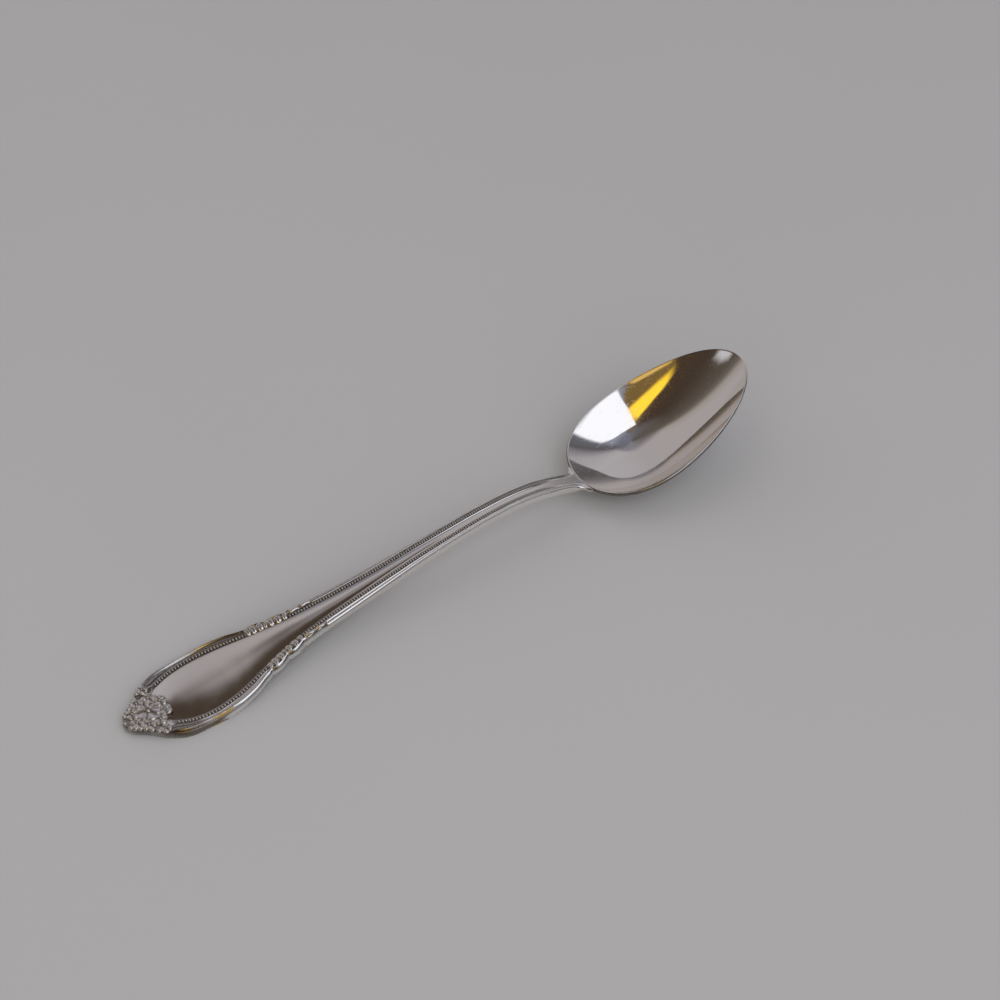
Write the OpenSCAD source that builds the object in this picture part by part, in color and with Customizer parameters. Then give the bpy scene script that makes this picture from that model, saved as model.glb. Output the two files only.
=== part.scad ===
// Silver-plated teaspoon, lying on a table on its bowl and the tip of its handle.
// The handle runs along X from its tip to the bowl, Z is up and the table is z = 0.
// The origin is on the table, under the middle of the spoon.
// Every named solid is one region of the struck metal, seated face to face on the next.

/* [Overall] */
// Length of the spoon, seen from above
spoon_l = 154; // [146:1:162]

/* [Bowl] */
// Length of the bowl, seen from above
bowl_l = 44.6; // [41:0.2:48]
// Width of the bowl at its widest
bowl_w = 28.2; // [25:0.2:31]
// Depth of the hollow below its rim
bowl_depth = 8; // [7:0.1:9]
// Thickness of the metal under the hollow
bowl_wall = 1.1; // [0.8:0.1:1.6]
// Width of the edge of the rim
rim_t = 0.8; // [0.6:0.1:1.2]
// Height that the rim gains from the neck to the tip of the bowl
rim_rise = 14; // [11:0.5:16]
// Sag of the rim below a straight line from the neck to the tip
rim_sag = 1; // [0.5:0.1:1.6]
// Depth of the metal worn flat where the bowl touches the table
heel_wear = 0.1; // [0.06:0.01:0.16]
// Thickness of the tongue that the stem ends in, under the bowl
tongue_t = 1; // [0.6:0.1:1.4]

/* [Handle] */
// Width of the panel at the end of the handle
panel_w = 20; // [18:0.5:22]
// Width of the stem at its narrowest
stem_w = 4.6; // [4:0.1:5.4]
// Height of the top of the stem above the table, where it arches highest
arch_h = 10; // [9:0.1:11.5]
// Thickness of the handle at its tip
tip_t = 1.2; // [1:0.1:1.5]
// Thickness of the panel
panel_t = 1.6; // [1.2:0.1:2]
// Thickness of the stem
stem_t = 2.5; // [2:0.1:3]
// Depth of the dished field of the panel, below its beads
panel_dish = 0.5; // [0.2:0.05:0.7]
// Depth of the dished field of the stem, below its beads
stem_dish = 0.2; // [0.1:0.05:0.4]

/* [Border] */
// Width of a bead
bead_w = 0.7; // [0.5:0.02:0.8]
// Distance from one bead to the next
bead_pitch = 0.6; // [0.5:0.02:0.8]
// Height of a bead
bead_h = 0.26; // [0.2:0.02:0.36]
// Height of the ridge that follows the edge of the panel
ridge_h = 0.42; // [0.3:0.02:0.6]
// Height of the two reeds that follow the edge of the stem
reed_h = 0.34; // [0.2:0.02:0.5]

/* [Blossoms] */
// Width of the rosette on the tip of the handle
rosette_w = 4.2; // [3.6:0.1:4.6]
// Height of the rosette
rosette_h = 0.8; // [0.5:0.05:1]
// Width of each blossom of the ring round the rosette
blossom_w = 2.1; // [1.8:0.05:2.3]
// Height of a blossom
blossom_h = 0.6; // [0.4:0.05:0.8]
// Width of the berries along the edge of the tip
berry_w = 0.8; // [0.6:0.05:0.9]
// Depth of the scallops in the edge beside each spray
scallop = 0.5; // [0.2:0.05:0.7]
// Length of each leaf of the scrolls
leaf_l = 2.4; // [1.8:0.1:2.5]
// Width of each leaf of the scrolls
leaf_w = 0.85; // [0.6:0.05:1]
// Height of the leaves of the scrolls
leaf_h = 0.4; // [0.25:0.05:0.5]

/* [Hidden] */

// Gap between an ornament's flat underside and the gently curved metal it sits on
seat_gap = 0.02;

// Cluster on the tip: berries at the edge, then a ring of blossoms round the rosette
rosette_x = 1.5 * berry_w + blossom_w + rosette_w / 2;
ring_r = (rosette_w + blossom_w) / 2;
ring_count = 8;

// Stations along the handle: the end of the cluster, then shares of the handle's length
handle_l = spoon_l - bowl_l;
tip_end = rosette_x + ring_r;
spray_start = 0.268 * handle_l;
spray_end = 0.349 * handle_l;
reed_start = 0.394 * handle_l;
stem_end = 0.945 * handle_l;

// Height of the seat of the beads, from the tip's to the arch's, along the handle
spine_shares = [[0, 0.035], [0.062, 0.025], [0.115, -0.01], [0.154, 0], [0.195, 0.05], [0.23, 0.12],
    [0.264, 0.2], [0.31, 0.3], [0.355, 0.385], [0.4, 0.45], [0.447, 0.515], [0.5, 0.6], [0.557, 0.7],
    [0.62, 0.81], [0.694, 0.915], [0.76, 0.985], [0.832, 0.995], [0.885, 0.92], [0.915, 0.83], [0.941, 0.725]];

// Half-width of the handle: of the panel's, along the cluster and then the handle, and of the stem's
tip_edge_shares = [[0, 0], [0.128, 0.24], [0.41, 0.43], [0.717, 0.68]];
panel_edge_shares = [[0.086, 0.87], [0.119, 0.965], [0.156, 1], [0.192, 0.945], [0.232, 0.815],
    [0.262, 0.675], [0.3, 0.57], [0.345, 0.46]];
stem_edge_shares = [[0.394, 1.76], [0.447, 1.57], [0.557, 1.32], [0.694, 1.1], [0.832, 1.02], [0.945, 1]];

// Half-width between the two rows of beads, along the handle: of the panel's, then of the stem's
panel_bead_shares = [[0.062, 0.39], [0.085, 0.53], [0.115, 0.655], [0.154, 0.705], [0.195, 0.665],
    [0.23, 0.585], [0.264, 0.485], [0.31, 0.37], [0.355, 0.285]];
stem_bead_shares = [[0.4, 1.03], [0.447, 0.88], [0.557, 0.66], [0.694, 0.53], [0.832, 0.48], [0.941, 0.46]];

// Thickness of the handle along it: from the tip's to the panel's, then to the stem's
tip_t_shares = [[0, 0], [0.1, 0.7], [0.154, 1]];
stem_t_shares = [[0.264, 0.1], [0.394, 0.6], [0.557, 0.95], [0.694, 1], [0.945, 1]];

// Scallops in the edge beside each spray
scallops = 2;

// Profiles across the border, in shares of its width and height, from the beads outwards
ridge_profile_shares = [[0.05, 0.3], [0.3, 0.16], [0.55, 0.4], [0.78, 1], [0.94, 0.7]];
reed_profile_shares = [[0.1, 0.7], [0.24, 1], [0.4, 0.7], [0.5, 0.2], [0.6, 0.7], [0.76, 1], [0.92, 0.7]];

// Share of the border's width that its sloping outer flank takes
flank_share = 0.25;

// Fineness of the bowl's skin
bowl_rays = 40;
bowl_rings = 9;

// Smooth curve through the rows [place, value] of a table
function slope_at(t, i) =
    let (a = max(i - 1, 0), b = min(i + 1, len(t) - 1))
        (t[b][1] - t[a][1]) / (t[b][0] - t[a][0]);
function row_of(t, x, i = 0) = i >= len(t) - 2 || x < t[i + 1][0] ? i : row_of(t, x, i + 1);
function curve(t, x) =
    let (i = row_of(t, x), h = t[i + 1][0] - t[i][0], u = (x - t[i][0]) / h, v = 1 - u)
        t[i][1] * v * v * (1 + 2 * u) + t[i + 1][1] * u * u * (1 + 2 * v)
        + h * u * v * (v * slope_at(t, i) - u * slope_at(t, i + 1));

// Table with its shares turned to sizes, from one value to another
function sized(shares, from, to) = [for (s = shares) [s[0] * handle_l, from + s[1] * (to - from)]];

// Closed solid through rings of as many points, each end drawn to a point or else closed flat
module skin(rings, start = undef, end = undef) {
    n = len(rings[0]);
    top = (len(rings) - 1) * n;
    points = concat([for (r = rings) each r], is_undef(start) ? [] : [start], is_undef(end) ? [] : [end]);
    start_faces = is_undef(start)
        ? [[for (j = [n - 1 : -1 : 0]) j]]
        : [for (j = [0 : n - 1]) [top + n, (j + 1) % n, j]];
    end_faces = is_undef(end)
        ? [[for (j = [0 : n - 1]) top + j]]
        : [for (j = [0 : n - 1]) [len(points) - 1, top + j, top + (j + 1) % n]];
    walls = [for (i = [0 : n : top - n], j = [0 : n - 1]) each let (a = i + j, b = i + (j + 1) % n)
        [[a, b, b + n], [a, b + n, a + n]]];
    polyhedron(points, concat(start_faces, walls, end_faces));
}

// Bowl: every ray runs from the middle of the hollow to the rim
bowl_mid_share = 0.44;
wall_power = 2.3;
egg_share = 0.17;
blunt_share = 0.044;
function egg(a) = sin(a) * (1 + egg_share * cos(a) + blunt_share * cos(2 * a));
egg_peak = max([for (a = [60 : 100]) egg(a)]);
function rim_x(a) = (1 - cos(a)) / 2 * bowl_l;
function rim_y(a) = bowl_w / 2 * egg(a) / egg_peak;
function rim_z(x) = let (t = x / bowl_l) rim_rise * t - 4 * rim_sag * t * (1 - t);
function bowl_point(a, s, inset, depth) =
    let (mid = bowl_mid_share * bowl_l, dx = rim_x(a) - mid, dy = rim_y(a),
        keep = s * (1 - inset / norm([dx, dy])), x = mid + keep * dx)
        [x, keep * dy, rim_z(x) - depth * (1 - pow(s, wall_power))];
function bowl_ring(s, inset, depth) =
    [for (j = [0 : bowl_rays - 1]) bowl_point(j * 360 / bowl_rays, s, inset, depth)];
ring_shares = [for (i = [1 : bowl_rings]) sin(90 * i / bowl_rings)];
outer_depth = bowl_depth + bowl_wall;
lowest = min([for (s = ring_shares, p = bowl_ring(s, 0, outer_depth)) p[2]]);
neck_z = -lowest - heel_wear;
function raised(points) = [for (p = points) [p[0] + handle_l, p[1], p[2] + neck_z]];
outer_rings = [for (s = ring_shares) raised(bowl_ring(s, 0, outer_depth))];
inner_rings = [for (i = [bowl_rings - 1 : -1 : 0]) raised(bowl_ring(ring_shares[i], rim_t, bowl_depth))];
bowl_under = raised([bowl_point(0, 0, 0, outer_depth)])[0];
bowl_floor = raised([bowl_point(0, 0, rim_t, bowl_depth)])[0];

// Handle: heights, widths and thickness at a distance from the tip
spine = concat(sized(spine_shares, tip_t, arch_h), [[handle_l, neck_z]]);
function seat_z(x) = curve(spine, x);
tip_edge_rows = [for (s = tip_edge_shares) [s[0] * tip_end, s[1] * panel_w / 2]];
edge_rows = concat(tip_edge_rows, sized(panel_edge_shares, 0, panel_w / 2),
    sized(stem_edge_shares, 0, stem_w / 2));
edge_roots = [for (r = edge_rows) [sqrt(r[0]), r[1]]];
function lobe(x) = x > spray_start && x < spray_end
    ? scallop * (abs(sin(scallops * 180 * (x - spray_start) / (spray_end - spray_start))) - 0.5) : 0;
function edge_y(x) = curve(edge_roots, sqrt(x)) + lobe(x);
bead_rows = concat(sized(panel_bead_shares, 0, panel_w / 2), sized(stem_bead_shares, 0, stem_w / 2));
function bead_y(x) = curve(bead_rows, x);
thick_rows = concat(sized(tip_t_shares, tip_t, panel_t), sized(stem_t_shares, panel_t, stem_t));
function thick(x) = curve(thick_rows, x);
function field_y(x) = x < tip_end ? min(bead_y(tip_end), edge_y(x) / 2) : bead_y(x) - bead_w / 2;
function border_in(x) = bead_y(x) + bead_w / 2;
function border_out(x) = edge_y(x) - flank_share * (edge_y(x) - field_y(x));
function dish(x) = let (u = min(1, max(0, (x - tip_end) / (spray_end - tip_end))))
    x < tip_end ? 0 : (panel_dish + u * (stem_dish - panel_dish)) * min(1, (x - tip_end) / tip_end * 2 + 0.2);

// Ring round the handle at a distance from the tip
function handle_ring(x) =
    let (z = seat_z(x), t = thick(x), w = edge_y(x), f = field_y(x), o = border_out(x),
        under = max(0, z - t), low = max(under, z - 0.8 * t),
        half = [[f, z], [o, z], [(o + w) / 2, z - 0.35 * t], [w, low], [w - 0.3 * t, under]])
        concat([[x, 0, z - dish(x)]],
            [for (p = half) [x, p[0], max(p[1], under)]],
            [for (i = [len(half) - 1 : -1 : 0]) [x, -half[i][0], max(half[i][1], under)]]);

// Middle of the handle's thickness
function core(x) = [x, 0, seat_z(x) - thick(x) / 2];

// Even steps from one station to another
function steps(from, to, count) = [for (i = [0 : count]) from + (to - from) * i / count];
function joined(lists) = [for (i = [0 : len(lists) - 1], j = [0 : len(lists[i]) - 1])
    if (i == 0 || j > 0) lists[i][j]];
tip_shares = [0.02, 0.08, 0.18, 0.32, 0.5, 0.75, 1];
tip_steps = [for (s = tip_shares) s * tip_end];
border_steps = steps(tip_end, spray_start, 9);
spray_steps = steps(spray_start, spray_end, 12);
scroll_steps = steps(spray_end, reed_start, 2);
reed_steps = steps(reed_start, stem_end, 20);
panel_steps = joined([tip_steps, border_steps, spray_steps]);
stem_steps = joined([scroll_steps, reed_steps]);
handle_steps = joined([panel_steps, stem_steps]);

// Height of the seat on the straight facets between stations
seat_rows = [for (x = handle_steps) [x, seat_z(x)]];
function seat_at(x) = lookup(x, seat_rows);
function seat_slope(x) = atan2(seat_at(x + bead_w) - seat_at(x - bead_w), 2 * bead_w);

// Solids are drawn from the tip of the handle and moved to the middle of the spoon
module placed() {
    translate([-spoon_l / 2, 0, 0]) children();
}

// The block is the table, which has worn a small flat on the metal
module bowl() {
    color("silver") placed() difference() {
        skin(concat(outer_rings, inner_rings), bowl_under, bowl_floor);
        translate([handle_l, -bowl_w / 2, -bowl_w]) cube([bowl_l, bowl_w, bowl_w]);
    }
}

// Bowl with its hollow filled, which trims the neck
module bowl_blank() {
    rim = outer_rings[bowl_rings - 1];
    lid = [bowl_under[0], 0, max([for (p = rim) p[2]])];
    skin(outer_rings, bowl_under, lid);
}

// Neck: the stem runs down into a tongue under the bowl, at distances given in neck lengths
neck_l = handle_l - stem_end;
neck_w_shares = [[0, 1], [0.5, 1.02], [0.75, 1.1], [0.9, 1.3], [1, 1.6], [1.1, 1.95], [1.25, 1.75],
    [1.6, 1.35], [2, 1], [2.3, 0.6], [2.4, 0.3]];
function bowl_under_z(x) =
    neck_z + rim_z(x) - outer_depth * (1 - pow(1 - x / (bowl_mid_share * bowl_l), wall_power));
neck_under_rows = [
    [0, seat_z(stem_end) - stem_t],
    [0.5, seat_z(stem_end + 0.5 * neck_l) - stem_t],
    [1, neck_z - 0.9 * stem_t],
    [1.5, bowl_under_z(0.5 * neck_l) - tongue_t],
    [2, bowl_under_z(neck_l) - 0.5 * tongue_t],
    [2.4, bowl_under_z(1.4 * neck_l) - 0.1 * tongue_t]];
neck_end = neck_under_rows[len(neck_under_rows) - 1][0];
function neck_top(u) =
    u < 1 ? seat_z(stem_end + u * neck_l) : neck_z + rim_z((u - 1) * neck_l) - (u - 1) * tongue_t;
function neck_low(u) = curve(neck_under_rows, u);
function neck_core(u) = [stem_end + u * neck_l, 0, (neck_top(u) + neck_low(u)) / 2];
function neck_ring(u) =
    let (x = stem_end + u * neck_l, z = neck_top(u), low = neck_low(u), t = z - low,
        w = stem_w / 2 * curve(neck_w_shares, u),
        half = [[w * 0.3, z], [w * 0.85, z], [w, z - 0.5 * t], [w * 0.95, z - 0.8 * t], [w * 0.6, low]])
        concat([[x, 0, z]],
            [for (p = half) [x, p[0], p[1]]],
            [for (i = [len(half) - 1 : -1 : 0]) [x, -half[i][0], half[i][1]]]);
module neck() {
    color("gainsboro") placed() difference() {
        skin([for (u = steps(0, neck_end, 18)) neck_ring(u)], neck_core(0), neck_core(neck_end));
        bowl_blank();
    }
}

module stem() {
    color("lightgray") placed()
        skin([for (x = stem_steps) handle_ring(x)], core(spray_end), core(stem_end));
}

module panel() {
    color("lightgray") placed()
        skin([for (x = panel_steps) handle_ring(x)], [0, 0, seat_z(0) - tip_t / 2], core(spray_end));
}

// Moulding on the seat between the beads and the edge, with a profile across it
function moulding_ring(x, profile, height) =
    let (a = border_in(x), b = border_out(x), z = seat_at(x))
        concat([[x, a, z]], [for (p = profile) [x, a + p[0] * (b - a), z + p[1] * height]], [[x, b, z]]);

module border() {
    color("whitesmoke") placed()
        skin([for (x = border_steps) moulding_ring(x, ridge_profile_shares, ridge_h)]);
}

module left_border() {
    border();
}

module right_border() {
    mirror([0, 1, 0]) border();
}

module reeds() {
    color("whitesmoke") placed()
        skin([for (x = reed_steps) moulding_ring(x, reed_profile_shares, reed_h)]);
}

module left_reeds() {
    reeds();
}

module right_reeds() {
    mirror([0, 1, 0]) reeds();
}

// Row of beads: a strip that swells and narrows once for each bead
module bead_run(from, to) {
    halves = 2 * round((to - from) / bead_pitch);
    skin([for (i = [0 : halves])
        let (x = from + (to - from) * i / halves, size = i % 2 == 0 ? 0.45 : 1,
            y = bead_y(x), z = seat_at(x), w = size * bead_w / 2)
            [[x, y - w, z], [x, y, z + size * bead_h], [x, y + w, z]]]);
}

module beads() {
    color("white") placed() {
        bead_run(tip_end + bead_pitch, spray_start);
        bead_run(spray_end, stem_end);
    }
}

module left_beads() {
    beads();
}

module right_beads() {
    mirror([0, 1, 0]) beads();
}

// Ornament with a flat underside, turned to the slope of its seat
module on_seat(x, y) {
    translate([x, y, seat_at(x) + seat_gap]) rotate([0, -seat_slope(x), 0]) children();
}

// Flower with round petals that rise between creases, about a raised button
petals = 5;
module blossom(width, height) {
    rays = 4 * petals;
    swell = [for (j = [0 : rays - 1]) (1 - cos(360 * j * petals / rays)) / 2];
    function petal_ring(share, low, high) = [for (j = [0 : rays - 1])
        let (r = width / 2 * share * (0.8 + 0.2 * swell[j]), a = 360 * j / rays)
            [r * cos(a), r * sin(a), height * (low + (high - low) * swell[j])]];
    rings = [petal_ring(1, 0, 0), petal_ring(0.72, 0.35, 0.85), petal_ring(0.3, 0.4, 0.4)];
    skin(rings, [0, 0, 0], [0, 0, height]);
}

// Spray: blossoms in a row on the border, smaller towards the stem
spray_rows = [[0.14, 1.15], [0.4, 1.08], [0.64, 0.98], [0.86, 0.84]];
function border_mid(x) = (field_y(x) + border_out(x)) / 2;
module spray() {
    color("white") placed() for (row = spray_rows)
        let (x = spray_start + row[0] * (spray_end - spray_start))
            on_seat(x, border_mid(x)) blossom(row[1] * blossom_w, blossom_h);
}

module left_spray() {
    spray();
}

module right_spray() {
    mirror([0, 1, 0]) spray();
}

// Leaf pointed at both ends, along X
module leaf() {
    rings = [for (u = [0.2, 0.4, 0.6, 0.8])
        let (x = (u - 0.5) * leaf_l, w = leaf_w / 2 * sin(180 * u), h = leaf_h * sin(180 * u))
            [[x, -w, 0], [x, 0, h], [x, w, 0]]];
    skin(rings, [-leaf_l / 2, 0, 0], [leaf_l / 2, 0, 0]);
}

// Scroll: two leaves that lie aslant, one after the other
module scroll() {
    color("white") placed() for (share = [0.27, 0.76])
        let (x = spray_end + share * (reed_start - spray_end))
            on_seat(x, (border_in(x) + border_out(x)) / 2) rotate([0, 0, -8]) leaf();
}

module left_scroll() {
    scroll();
}

module right_scroll() {
    mirror([0, 1, 0]) scroll();
}

module tip_rosette() {
    color("white") placed() on_seat(rosette_x, 0) blossom(rosette_w, rosette_h);
}

module tip_blossoms() {
    color("white") placed() {
        for (i = [0 : ring_count - 1])
            let (a = 360 * (i + 0.5) / ring_count)
                on_seat(rosette_x + ring_r * cos(a), ring_r * sin(a)) blossom(blossom_w, blossom_h);
        for (side = [-1, 1])
            on_seat(0.8 * tip_end, side * 0.55 * panel_w / 2) blossom(0.8 * blossom_w, blossom_h);
    }
}

// Berry: a bead with a flat underside
module berry() {
    rotate_extrude($fn = 24) intersection() {
        circle(d = berry_w, $fn = 24);
        square(berry_w);
    }
}

berry_shares = [0.12, 0.21, 0.32, 0.44, 0.56];
module tip_berries() {
    color("white") placed() {
        on_seat(0.6 * berry_w, 0) berry();
        for (share = berry_shares, side = [-1, 1])
            let (x = share * tip_end)
                on_seat(x, side * (border_out(x) - 0.2 * berry_w)) berry();
    }
}

bowl();
neck();
stem();
panel();
left_border();
right_border();
left_beads();
right_beads();
left_reeds();
right_reeds();
left_scroll();
right_scroll();
left_spray();
right_spray();
tip_rosette();
tip_blossoms();
tip_berries();
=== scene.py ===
"""Silver-plated teaspoon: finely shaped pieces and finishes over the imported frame."""
import math

import bpy
import numpy as np
from mathutils import Matrix, Vector


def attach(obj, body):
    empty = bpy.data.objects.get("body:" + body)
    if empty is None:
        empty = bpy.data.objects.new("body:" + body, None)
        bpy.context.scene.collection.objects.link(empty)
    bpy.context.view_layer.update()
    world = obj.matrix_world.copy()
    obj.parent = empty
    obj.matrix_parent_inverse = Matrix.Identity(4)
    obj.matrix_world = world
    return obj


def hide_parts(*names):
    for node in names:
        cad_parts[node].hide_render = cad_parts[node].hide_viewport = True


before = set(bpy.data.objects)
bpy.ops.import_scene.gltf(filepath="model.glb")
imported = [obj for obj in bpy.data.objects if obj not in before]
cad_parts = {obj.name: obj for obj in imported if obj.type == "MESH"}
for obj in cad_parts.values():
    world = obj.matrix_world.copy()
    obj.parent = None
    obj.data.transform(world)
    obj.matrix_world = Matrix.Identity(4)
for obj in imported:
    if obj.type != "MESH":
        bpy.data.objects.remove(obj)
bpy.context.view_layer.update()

bl_info = {
    "name": "Silver-plated teaspoon",
    "version": (1, 0, 0),
    "blender": (4, 5, 0),
    "location": "3D View > Sidebar > Teaspoon",
    "description": "Builds a beaded silver-plated teaspoon and the pale table that it lies on",
    "category": "Object",
}

MM = 0.001

# Sizes of the struck metal in millimetres, as the solids have them
SPOON_L = 154.0
BOWL_L = 44.6
BOWL_W = 28.17
BOWL_DEPTH = 8.0
BOWL_WALL = 1.1
RIM_RISE = 14.0
RIM_SAG = 1.0
TONGUE_T = 1.0
PANEL_W = 20.0
STEM_W = 4.6
ARCH_H = 10.0
TIP_T = 1.2
PANEL_T = 1.6
STEM_T = 2.5
ROSETTE_W = 4.2
ROSETTE_H = 0.8
BLOSSOM_W = 2.1
BLOSSOM_H = 0.6
BERRY_W = 0.8
SCALLOP = 0.5
HANDLE_L = SPOON_L - BOWL_L
NECK_Z = 4.998
BOWL_MID = 0.44
WALL_POWER = 2.3
EGG = 0.17
BLUNT = 0.044

# Finer than the solids': width and roundness of the bowl's edge, how much less full its inner wall is beside
# the neck and how far round that reaches, the stations between which mouldings get slimmer and beads closer,
# and how deep beads, feet of mouldings and their faded ends go into the blank
RIM_T = 0.5
RIM_ROUND = 0.58
NECK_EASE = 0.45
NECK_EASE_REACH = 0.6
SLIM = (45, 75)
CLOSER = (30, 85)
BEAD_SINK = 0.03
FOOT_SINK = 0.08
END_SINK = 0.05

# Stations along the handle, in millimetres from its tip; the tongue's end in neck lengths past the stem
ROSETTE_X = 1.5 * BERRY_W + BLOSSOM_W + ROSETTE_W / 2
RING_R = (ROSETTE_W + BLOSSOM_W) / 2
TIP_END = ROSETTE_X + RING_R
SPRAY_START = 0.268 * HANDLE_L
SPRAY_END = 0.349 * HANDLE_L
REED_START = 0.394 * HANDLE_L
STEM_END = 0.945 * HANDLE_L
NECK_L = HANDLE_L - STEM_END
TONGUE_END = 2.4
RIDGE_START = TIP_END - 1.9
TIP_STEPS = TIP_END * np.linspace(0.03, 1, 26) ** 1.6

# Shares of the handle's length against shares of the named heights and half-widths; the panel's edge follows
# the photo a little more closely than the solids do
SPINE = [[0, 0.035], [0.062, 0.025], [0.115, -0.01], [0.154, 0], [0.195, 0.05], [0.23, 0.12],
         [0.264, 0.2], [0.31, 0.3], [0.355, 0.385], [0.4, 0.45], [0.447, 0.515], [0.5, 0.6], [0.557, 0.7],
         [0.62, 0.81], [0.694, 0.915], [0.76, 0.985], [0.832, 0.995], [0.885, 0.92], [0.915, 0.83],
         [0.941, 0.725]]
TIP_EDGE = [[0, 0], [0.128, 0.24], [0.41, 0.43], [0.717, 0.68]]
PANEL_EDGE = [[0.086, 0.87], [0.119, 0.93], [0.156, 0.945], [0.192, 0.905], [0.232, 0.8], [0.262, 0.67],
              [0.3, 0.57], [0.345, 0.46]]
STEM_EDGE = [[0.394, 1.76], [0.447, 1.57], [0.557, 1.32], [0.694, 1.1], [0.832, 1.02], [0.945, 1]]
PANEL_BEADS = [[0.062, 0.39], [0.085, 0.53], [0.115, 0.655], [0.154, 0.705], [0.195, 0.665],
               [0.23, 0.585], [0.264, 0.485], [0.31, 0.37], [0.355, 0.285]]
STEM_BEADS = [[0.4, 1.03], [0.447, 0.88], [0.557, 0.655], [0.694, 0.52], [0.832, 0.48], [0.941, 0.46]]
TIP_THICK = [[0, 0], [0.1, 0.7], [0.154, 1]]
STEM_THICK = [[0.264, 0.1], [0.394, 0.6], [0.557, 0.95], [0.694, 1], [0.945, 1]]
NECK_W = [[0, 1], [0.5, 1.02], [0.75, 1.1], [0.9, 1.3], [1, 1.6], [1.1, 1.95], [1.25, 1.75],
          [1.6, 1.35], [2, 1], [2.3, 0.6], [TONGUE_END, 0.3]]
# Distance of the ridge's crest from the edge, in millimetres at stations from the tip
CREST = [[6, 1.1], [12, 1.15], [16.6, 1.1], [20, 0.85], [22.5, 0.65], [27, 0.52], [38, 0.52]]
# Profile of the ridge from the beads to its crest: a hollow band, then a steep rise
BAND = [[0, 0.0], [0.07, 0.26], [0.2, 0.12], [0.45, 0.14], [0.72, 0.5], [0.9, 0.92], [1, 1]]


LENGTH = dict(precision=5, subtype="DISTANCE", unit="LENGTH")


class SpoonSizes(bpy.types.PropertyGroup):
    """Sizes of the ornament"""
    bead_w: bpy.props.FloatProperty(
        name="Bead width", description="Width of the beads that border the handle",
        default=0.74 * MM, min=0.3 * MM, max=0.9 * MM, **LENGTH)
    bead_h: bpy.props.FloatProperty(
        name="Bead height", description="Height of the beads above their channel",
        default=0.34 * MM, min=0.1 * MM, max=0.4 * MM, **LENGTH)
    panel_pitch: bpy.props.FloatProperty(
        name="Bead pitch on the panel", description="Distance from bead to bead on the panel",
        default=0.645 * MM, min=0.3 * MM, max=1.0 * MM, **LENGTH)
    stem_pitch: bpy.props.FloatProperty(
        name="Bead pitch on the stem", description="Distance from bead to bead near the neck",
        default=0.535 * MM, min=0.3 * MM, max=1.0 * MM, **LENGTH)
    ridge_h: bpy.props.FloatProperty(
        name="Ridge height", description="Height of the ridge round the edge of the panel",
        default=0.42 * MM, min=0.2 * MM, max=0.6 * MM, **LENGTH)
    reed_h: bpy.props.FloatProperty(
        name="Reed height", description="Height of the two reeds along each edge of the stem",
        default=0.34 * MM, min=0.1 * MM, max=0.5 * MM, **LENGTH)
    panel_dish: bpy.props.FloatProperty(
        name="Dish of the panel", description="Depth of the hollow field between the bead rows of the panel",
        default=0.5 * MM, min=0.1 * MM, max=0.8 * MM, **LENGTH)
    stem_dish: bpy.props.FloatProperty(
        name="Dish of the stem", description="Depth of the hollow field between the bead rows of the stem",
        default=0.2 * MM, min=0.05 * MM, max=0.5 * MM, **LENGTH)


class SpoonLook(bpy.types.PropertyGroup):
    """Colours of the plate and the table, and the lights"""
    silver: bpy.props.StringProperty(
        name="Silver", description="Colour of the silver plate, as an sRGB hex value", default="#F2EFEA")
    # The same brown paints tarnish in the hollows and painted shade and dark reflections on grooves, edges and
    # the bowl's rim
    tarnish_and_shade: bpy.props.StringProperty(
        name="Tarnish", description="Colour of tarnish, as an sRGB hex value", default="#3A332E")
    table: bpy.props.StringProperty(
        name="Table", description="Colour of the table top, as an sRGB hex value", default="#ABABAB")
    scratch_h: bpy.props.FloatProperty(
        name="Scratch depth", description="Depth of the hairline scratches in the polish",
        default=0.0012 * MM, min=0.0, max=0.01 * MM, precision=7, subtype="DISTANCE", unit="LENGTH")
    softbox: bpy.props.FloatProperty(
        name="Softbox", description="Brightness of the light on the right", default=0.92, min=0.0, max=10.0)
    fill: bpy.props.FloatProperty(
        name="Fill", description="Brightness of the light on the left", default=0.66, min=0.0, max=10.0)
    front: bpy.props.FloatProperty(
        name="Front fill", description="Brightness of the light in front", default=1.0, min=0.0, max=10.0)


def listed(group):
    """Names of a group's own properties."""
    return [name for name in group.bl_rna.properties.keys() if name not in ("rna_type", "name")]


def sizes():
    """Sizes of the ornament, in millimetres."""
    group = bpy.context.scene.teaspoon_sizes
    return {name: getattr(group, name) / MM for name in listed(group)}


def linear(text):
    """sRGB hex to the linear colour that a socket takes."""
    out = []
    for i in (1, 3, 5):
        c = int(text[i:i + 2], 16) / 255
        out.append(c / 12.92 if c <= 0.04045 else ((c + 0.055) / 1.055) ** 2.4)
    return (*out, 1.0)


def curve(rows, x):
    """Smooth curve through rows [place, value]."""
    t = np.array(rows, float)
    x = np.atleast_1d(np.asarray(x, float))
    n = len(t)
    up, down = np.minimum(np.arange(n) + 1, n - 1), np.maximum(np.arange(n) - 1, 0)
    slope = (t[up, 1] - t[down, 1]) / (t[up, 0] - t[down, 0])
    i = np.clip(np.searchsorted(t[:, 0], x, side="right") - 1, 0, n - 2)
    h = t[i + 1, 0] - t[i, 0]
    u = (x - t[i, 0]) / h
    v = 1 - u
    return (t[i, 1] * v * v * (1 + 2 * u) + t[i + 1, 1] * u * u * (1 + 2 * v)
            + h * u * v * (v * slope[i] - u * slope[i + 1]))


def ease(a, b, x):
    """Smooth rise from 0 at a to 1 at b."""
    t = np.clip((np.asarray(x, float) - a) / (b - a), 0, 1)
    return t * t * (3 - 2 * t)


def sized(shares, start, end):
    """Rows of shares turned to millimetres along the handle and sizes from start to end."""
    return [[s[0] * HANDLE_L, start + s[1] * (end - start)] for s in shares]


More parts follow.
